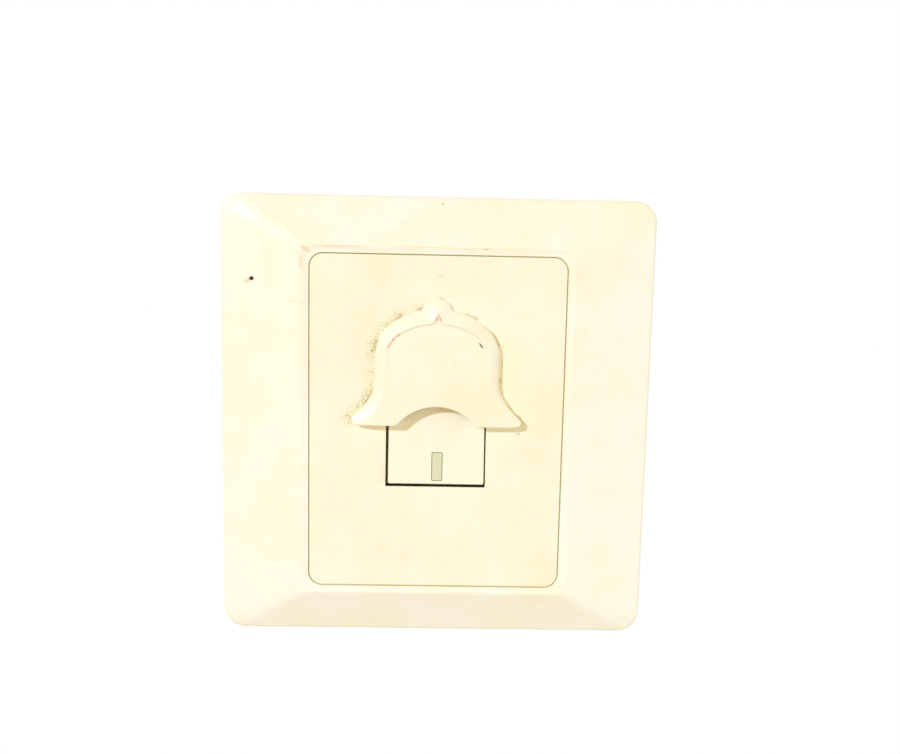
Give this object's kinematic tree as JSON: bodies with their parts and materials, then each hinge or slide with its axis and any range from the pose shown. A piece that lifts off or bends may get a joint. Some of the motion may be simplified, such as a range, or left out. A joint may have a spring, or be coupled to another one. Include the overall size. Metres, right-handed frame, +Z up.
{
  "type": "doorbell push button",
  "caption": "Wall-mounted doorbell push: sloping square surround, insert with a bell-shaped hood over a rocking key, and a momentary contact in a box behind.",
  "frame": {"origin": "middle of the wall plate, on the wall surface that it is screwed to", "axes": "+Z up, +X to the right as seen from the front, +Y into the wall; the front faces -Y"},
  "size_m": [0.086, 0.0293, 0.0886],
  "materials": {
    "surround_plastic": "moulded ivory plastic, satin, slightly yellowed",
    "insert_plastic": "moulded ivory plastic, satin, yellowed, with dirt along the hood",
    "key_plastic": "moulded ivory plastic, polished by fingers",
    "marker_plastic": "pale green glow plastic",
    "carrier_plastic": "moulded, matt",
    "terminal_brass": "machined and pressed",
    "contact_silver": "silver-faced contact tips",
    "screw_steel": "zinc plated",
    "spring_steel": "drawn wire"
  },
  "bodies": {
    "base": {"surround_frame": "surround_plastic", "insert_plate": "insert_plastic", "mounting_plate": "carrier_plastic", "housing_cover": "carrier_plastic", "mechanism_housing": "carrier_plastic", "return_spring": "spring_steel", "housing_screw_upper": "screw_steel", "housing_screw_lower_left": "screw_steel", "housing_screw_lower_right": "screw_steel", "fixing_screw_left": "screw_steel", "fixing_screw_right": "screw_steel", "fixed_tip_left": "contact_silver", "fixed_tip_right": "contact_silver", "fixed_contact_left": "terminal_brass", "fixed_contact_right": "terminal_brass", "terminal_block_left": "terminal_brass", "terminal_block_right": "terminal_brass", "terminal_screw_left": "screw_steel", "terminal_screw_right": "screw_steel"},
    "key": {"push_key": "key_plastic", "key_marker": "marker_plastic"},
    "plunger": {"plunger": "carrier_plastic", "contact_bridge": "terminal_brass", "bridge_tip_left": "contact_silver", "bridge_tip_right": "contact_silver"}
  },
  "joints": [
    {"name": "key_hinge", "type": "hinge", "parent": "base", "child": "key", "pos_m": [0, -0.0044, 0.0045], "axis": [1, 0, 0], "range_deg": [0, 6], "stiffness_Nm_per_rad": 0.001, "springref_deg": -5.73},
    {"name": "plunger_slide", "type": "slide", "parent": "base", "child": "plunger", "axis": [0, 1, 0], "range_m": [0, 0.00126], "deforming": ["return_spring"]}
  ],
  "couplings": [
    {"joint": "key_hinge", "follows": "plunger_slide", "rad_per_m": 83.333}
  ]
}
